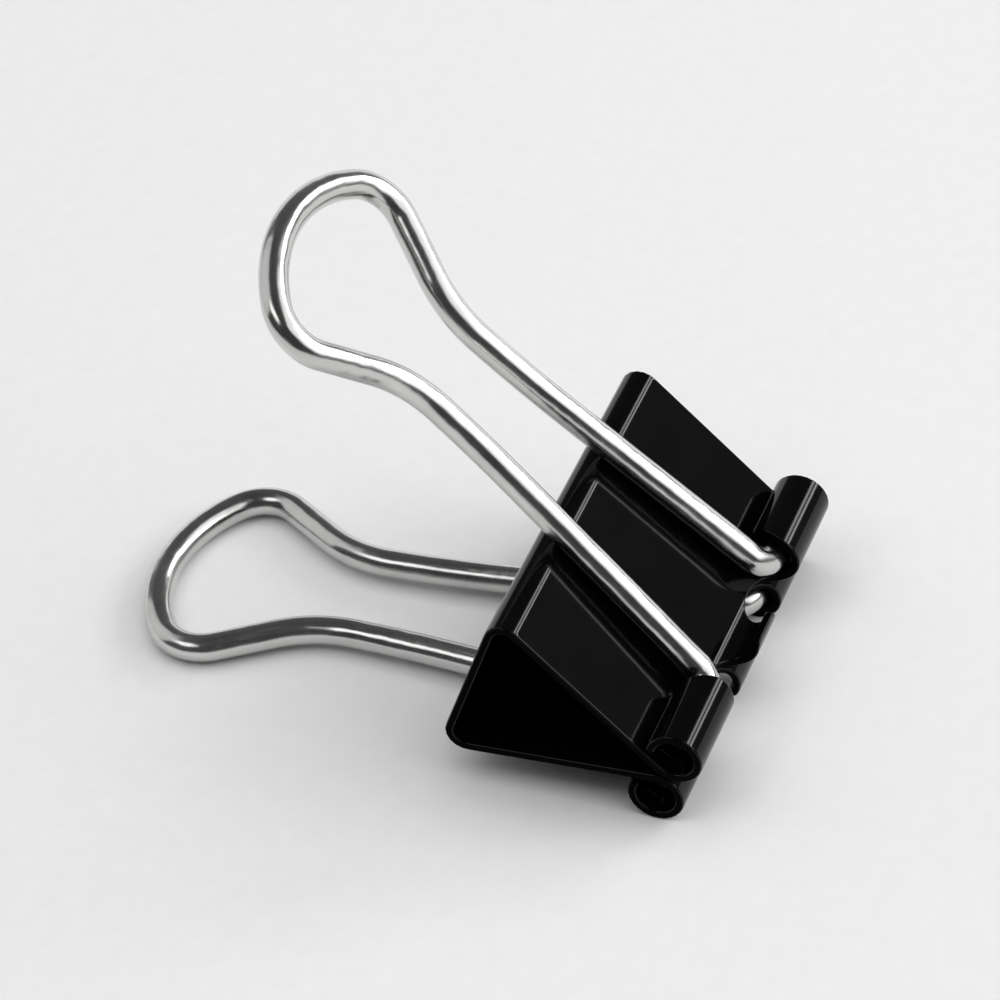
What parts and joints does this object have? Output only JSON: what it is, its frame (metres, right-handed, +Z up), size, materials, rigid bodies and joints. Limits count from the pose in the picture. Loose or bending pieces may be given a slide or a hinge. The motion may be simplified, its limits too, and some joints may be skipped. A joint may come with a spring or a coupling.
{
  "type": "binder clip",
  "caption": "Small spring-steel paper clip: a folded black triangular body with rolled lips and wire loop handles that swing forward or back.",
  "frame": {"origin": "middle of the footprint on the table, under the clip as it lies on its lower knuckles and lower loop", "axes": "+X along the clip's width, +Y from the mouth towards the back wall and the loops, +Z up from the table"},
  "size_m": [0.019, 0.0318, 0.0245],
  "materials": {
    "enamelled_steel": "gloss",
    "plated_wire": "gloss"
  },
  "bodies": {
    "spine": {"spine": "enamelled_steel"},
    "upper_jaw": {"upper_jaw": "enamelled_steel"},
    "lower_jaw": {"lower_jaw": "enamelled_steel"},
    "upper_handle": {"upper_handle": "plated_wire"},
    "lower_handle": {"lower_handle": "plated_wire"}
  },
  "joints": [
    {"name": "upper_jaw_opens", "type": "hinge", "parent": "spine", "child": "upper_jaw", "pos_m": [0, -0.00568, 0.00951], "axis": [-1, 0, 0], "range_deg": [0, 24], "stiffness_Nm_per_rad": 0.19, "springref_deg": -18.33},
    {"name": "lower_jaw_opens", "type": "hinge", "parent": "spine", "child": "lower_jaw", "pos_m": [0, -0.00326, 0.00324], "axis": [1, 0, 0], "range_deg": [0, 24], "stiffness_Nm_per_rad": 0.19, "springref_deg": -18.33},
    {"name": "upper_handle_swings", "type": "hinge", "parent": "upper_jaw", "child": "upper_handle", "pos_m": [0, -0.01449, 0.00401], "axis": [1, 0, 0], "range_deg": [0, 157]},
    {"name": "lower_handle_swings", "type": "hinge", "parent": "lower_jaw", "child": "lower_handle", "pos_m": [0, -0.01347, 0.00138], "axis": [-1, 0, 0], "range_deg": [0, 157]}
  ],
  "couplings": [
    {"joint": "lower_jaw_opens", "follows": "upper_jaw_opens", "ratio": 1}
  ]
}
